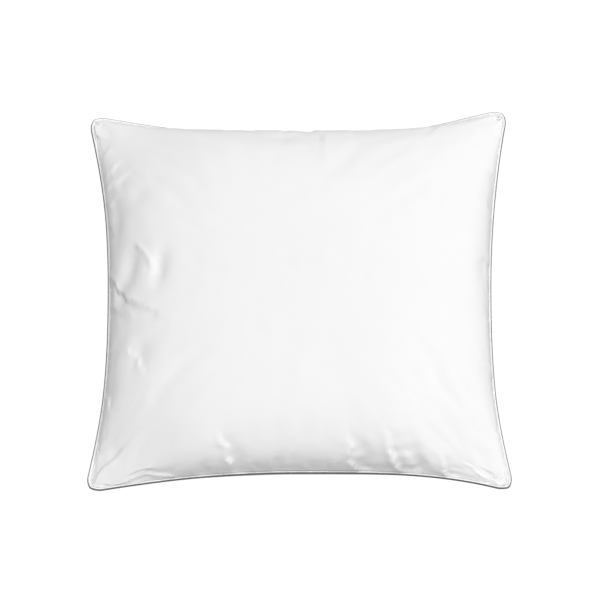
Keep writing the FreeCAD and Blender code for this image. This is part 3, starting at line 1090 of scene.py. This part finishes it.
# slow variation between two values, for colour and roughness
def makeVariationGroup():
    group, given, out = newGroup("softVariation", [
        ("Vector", "NodeSocketVector", None),
        ("Scale", "NodeSocketFloat", 12.0),
        ("Low", "NodeSocketFloat", 0.95),
        ("High", "NodeSocketFloat", 1.0),
    ], [("Value", "NodeSocketFloat")])
    noise = group.nodes.new("ShaderNodeTexNoise")
    noise.inputs["Detail"].default_value = 3
    group.links.new(given.outputs["Vector"], noise.inputs["Vector"])
    group.links.new(given.outputs["Scale"], noise.inputs["Scale"])
    spread = group.nodes.new("ShaderNodeMapRange")
    spread.inputs["From Min"].default_value = 0.3
    spread.inputs["From Max"].default_value = 0.7
    group.links.new(noise.outputs[0], spread.inputs["Value"])
    group.links.new(given.outputs["Low"], spread.inputs["To Min"])
    group.links.new(given.outputs["High"], spread.inputs["To Max"])
    group.links.new(spread.outputs[0], out.inputs["Value"])
    return group


# twisted fibres running aslant round a thread or cord
def makeTwistGroup():
    group, given, out = newGroup("twistedYarn", [
        ("Vector", "NodeSocketVector", None),
        ("Turns Along", "NodeSocketFloat", 800.0),
        ("Turns Around", "NodeSocketFloat", 3.0),
        ("Fuzz", "NodeSocketFloat", 0.3),
    ], [("Height", "NodeSocketFloat")])
    split = group.nodes.new("ShaderNodeSeparateXYZ")
    group.links.new(given.outputs["Vector"], split.inputs[0])
    along = mathNode(group, "MULTIPLY", split.outputs[0], given.outputs["Turns Along"])
    around = mathNode(group, "MULTIPLY", split.outputs[1], given.outputs["Turns Around"])
    turns = mathNode(group, "MULTIPLY", mathNode(group, "ADD", along, around), 2 * math.pi)
    noise = group.nodes.new("ShaderNodeTexNoise")
    noise.inputs["Scale"].default_value = 300
    group.links.new(given.outputs["Vector"], noise.inputs["Vector"])
    rough = mathNode(group, "MULTIPLY", noise.outputs[0], given.outputs["Fuzz"])
    wave = mathNode(group, "MULTIPLY_ADD", mathNode(group, "SINE", turns), 0.5, 0.5)
    group.links.new(mathNode(group, "ADD", wave, rough), out.inputs["Height"])
    return group


weaveGroup = makeWeaveGroup()
variationGroup = makeVariationGroup()
twistGroup = makeTwistGroup()


def placeGroup(tree, group, vector, **values):
    node = tree.nodes.new("ShaderNodeGroup")
    node.node_tree = group
    tree.links.new(vector, node.inputs["Vector"])
    for title, value in values.items():
        node.inputs[title.replace("_", " ")].default_value = value
    return node


def coordinates(tree, kind):
    return tree.nodes.new("ShaderNodeTexCoord").outputs[kind]


# colour that drifts a little over the piece, and roughness with it
def varyFinish(tree, shader, vector, color, scale, low, roughLow, roughHigh):
    tint = placeGroup(tree, variationGroup, vector, Scale=scale, Low=low, High=1.0)
    mix = tree.nodes.new("ShaderNodeVectorMath")
    mix.operation = "SCALE"
    mix.inputs[0].default_value = color
    tree.links.new(tint.outputs[0], mix.inputs["Scale"])
    tree.links.new(mix.outputs[0], shader.inputs["Base Color"])
    rough = placeGroup(tree, variationGroup, vector, Scale=scale * 3, Low=roughLow, High=roughHigh)
    tree.links.new(rough.outputs[0], shader.inputs["Roughness"])
    return mix


def addBump(tree, shader, height, distance, strength):
    bump = tree.nodes.new("ShaderNodeBump")
    bump.inputs["Distance"].default_value = distance
    bump.inputs["Strength"].default_value = strength
    tree.links.new(height, bump.inputs["Height"])
    tree.links.new(bump.outputs[0], shader.inputs["Normal"])


def makePercale():
    look = {"color": (0.905, 0.905, 0.91), "threads": 1800, "bump": 0.00006, "sheen": 0.12}
    material, tree, shader = newMaterial("percale", look["color"], 0.75)
    placed = coordinates(tree, "Object")
    varyFinish(tree, shader, placed, look["color"], 9, 0.985, 0.68, 0.82)
    weave = placeGroup(tree, weaveGroup, coordinates(tree, "UV"), Threads_Across=look["threads"],
                       Threads_Along=look["threads"] * 0.86, Unevenness=1.2)
    addBump(tree, shader, weave.outputs["Height"], look["bump"], 0.35)
    shader.inputs["Sheen Weight"].default_value = look["sheen"]
    shader.inputs["Sheen Roughness"].default_value = 0.4
    shader.inputs["Specular IOR Level"].default_value = 0.3
    return material


# white strip, with grey painted shade along the outer side of the bead
def makeSatin():
    look = {"color": (0.93, 0.93, 0.935), "paintedShade": 0.14, "ribs": 900, "bump": 0.00008}
    material, tree, shader = newMaterial("pipingSatin", look["color"], 0.3)
    tint = varyFinish(tree, shader, coordinates(tree, "Object"), look["color"], 40, 0.95, 0.24, 0.38)
    # painted shade: this mask darkens the colour to grey on the bead's outer side
    paintedShade = tree.nodes.new("ShaderNodeAttribute")
    paintedShade.attribute_name = "paintedShade"
    dye = tree.nodes.new("ShaderNodeVectorMath")
    dye.operation = "SCALE"
    tree.links.new(tint.outputs[0], dye.inputs[0])
    tree.links.new(mathNode(tree, "MULTIPLY_ADD", paintedShade.outputs["Fac"], look["paintedShade"] - 1, 1.0),
                   dye.inputs["Scale"])
    tree.links.new(dye.outputs[0], shader.inputs["Base Color"])
    ribs = placeGroup(tree, twistGroup, coordinates(tree, "UV"), Turns_Along=look["ribs"],
                      Turns_Around=2.0, Fuzz=0.2)
    addBump(tree, shader, ribs.outputs["Height"], look["bump"], 0.3)
    shader.inputs["Specular IOR Level"].default_value = 0.7
    shader.inputs["Coat Weight"].default_value = 0.25
    shader.inputs["Coat Roughness"].default_value = 0.25
    return material


def makeYarn(name, color, along, around, bump):
    material, tree, shader = newMaterial(name, color, 0.8)
    varyFinish(tree, shader, coordinates(tree, "Object"), color, 60, 0.92, 0.65, 0.85)
    twist = placeGroup(tree, twistGroup, coordinates(tree, "UV"), Turns_Along=along,
                       Turns_Around=around, Fuzz=0.4)
    addBump(tree, shader, twist.outputs["Height"], bump, 0.6)
    shader.inputs["Sheen Weight"].default_value = 0.2
    return material


def makeFibre():
    look = {"color": (0.93, 0.93, 0.92), "bump": 0.0015}
    material, tree, shader = newMaterial("polyesterFill", look["color"], 0.9)
    placed = coordinates(tree, "Object")
    varyFinish(tree, shader, placed, look["color"], 25, 0.93, 0.8, 0.95)
    tufts = tree.nodes.new("ShaderNodeTexNoise")
    tufts.inputs["Scale"].default_value = 160
    tufts.inputs["Detail"].default_value = 6
    tufts.inputs["Distortion"].default_value = 2.5
    tree.links.new(placed, tufts.inputs["Vector"])
    addBump(tree, shader, tufts.outputs[0], look["bump"], 0.8)
    shader.inputs["Sheen Weight"].default_value = 0.4
    return material


def makeTapeFinish():
    look = {"color": (0.90, 0.90, 0.89), "threads": 110, "bump": 0.00008}
    material, tree, shader = newMaterial("labelTape", look["color"], 0.55)
    varyFinish(tree, shader, coordinates(tree, "Object"), look["color"], 50, 0.96, 0.45, 0.6)
    weave = placeGroup(tree, weaveGroup, coordinates(tree, "UV"), Threads_Across=look["threads"],
                       Threads_Along=look["threads"] * 1.3, Unevenness=0.4)
    addBump(tree, shader, weave.outputs["Height"], look["bump"], 0.6)
    return material


finishes = {
    "percale": makePercale(),
    "piping_satin": makeSatin(),
    "cord_cotton": makeYarn("cordCotton", (0.85, 0.82, 0.75), 700, 3, 0.0002),
    "polyester_fill": makeFibre(),
    "thread": makeYarn("thread", (0.88, 0.88, 0.87), 1500, 2, 0.0001),
    "label_tape": makeTapeFinish(),
}
print("stage: materials made")


def dress(piece, finish):
    piece.data.materials.clear()
    piece.data.materials.append(finishes[finish])


pieces = [
    (upper, "percale", ["top_panel"]), (lower, "percale", ["bottom_panel"]),
    (cover, "piping_satin", ["piping_cover"]), (cord, "cord_cotton", ["piping_cord"]),
    (filling, "polyester_fill", ["fill"]), (needle, "thread", ["seam_needle_thread"]),
    (bobbin, "thread", ["seam_bobbin_thread"]), (overlock, "thread", ["overlock_thread"]),
    (stitches, "thread", ["closing_stitches"]),
]
for piece, finish, nodes in pieces:
    dress(piece, finish)
    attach(piece, "root")
    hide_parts(*nodes)
dress(tape, "label_tape")
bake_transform(tape)
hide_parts("care_label")
print("stage: pieces joined to the frame")
